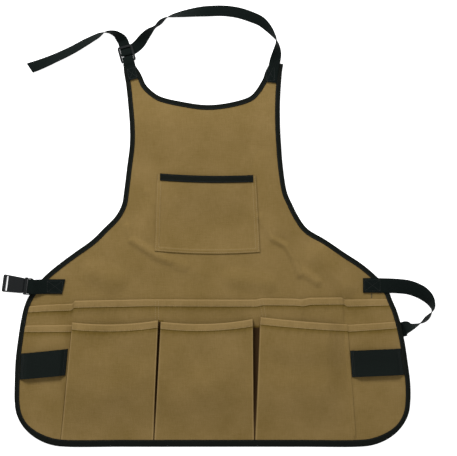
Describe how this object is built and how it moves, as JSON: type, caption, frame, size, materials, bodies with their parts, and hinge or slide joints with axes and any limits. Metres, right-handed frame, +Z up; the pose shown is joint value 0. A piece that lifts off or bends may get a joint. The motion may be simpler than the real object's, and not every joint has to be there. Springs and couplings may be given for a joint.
{
  "type": "gardening apron",
  "caption": "Bib apron of olive canvas with black binding, chest and skirt pockets, elastic tool bands, adjustable neck strap and waist strap with a side release buckle, laid flat.",
  "frame": {"origin": "on the floor under the middle of the whole laid apron, straps included", "axes": "+X towards the side with the free waist strap, +Y from the hem towards the neck strap, +Z up from the floor, out of the front of the apron"},
  "size_m": [0.7341, 0.7506, 0.0251],
  "materials": {
    "canvas": "woven cotton canvas, matte",
    "binding_tape": "woven tape, matte",
    "webbing": "woven webbing, slight sheen",
    "elastic": "ribbed elastic, matte",
    "buckle_plastic": "moulded plastic, slightly glossy"
  },
  "bodies": {
    "root": {"body_panel": "canvas", "upper_pocket": "canvas", "pocket_left": "canvas", "pocket_centre": "canvas", "pocket_right": "canvas", "side_pocket_left": "canvas", "side_pocket_right": "canvas", "chest_pocket": "canvas", "edge_binding": "binding_tape", "neckline_binding": "binding_tape", "chest_pocket_binding": "binding_tape", "elastic_band_left": "elastic", "elastic_band_right": "elastic", "neck_strap": "webbing", "neck_strap_tail": "webbing", "shoulder_webbing_left": "webbing", "waist_webbing_left": "webbing", "waist_strap_right": "webbing", "ladder_lock": "buckle_plastic", "buckle_plug": "buckle_plastic", "buckle_socket": "buckle_plastic"}
  },
  "joints": []
}
